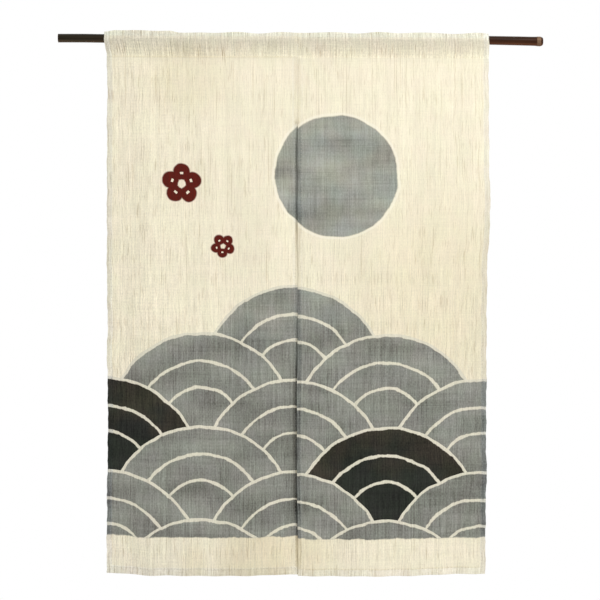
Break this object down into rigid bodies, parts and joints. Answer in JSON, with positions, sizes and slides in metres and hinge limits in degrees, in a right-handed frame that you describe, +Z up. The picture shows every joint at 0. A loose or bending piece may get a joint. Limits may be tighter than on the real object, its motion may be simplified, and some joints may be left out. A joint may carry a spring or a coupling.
{
  "type": "noren curtain with bamboo pole",
  "caption": "Split door curtain of hand-woven bast cloth, hung by a sewn head pocket on a dark bamboo pole.",
  "frame": {"origin": "on the pole's axis, half way along it", "axes": "+X along the pole to the right as seen from the front, -Y towards the viewer, +Z up; the cloth hangs towards -Z"},
  "size_m": [1.072, 0.0234, 1.2038],
  "materials": {
    "cloth": "matt, hand-woven, undyed cream with a blue-grey dyed design",
    "bamboo": "smoked dark brown, low sheen"
  },
  "bodies": {
    "root": {"panel_left": "cloth", "panel_right": "cloth", "pole": "bamboo"}
  },
  "joints": []
}
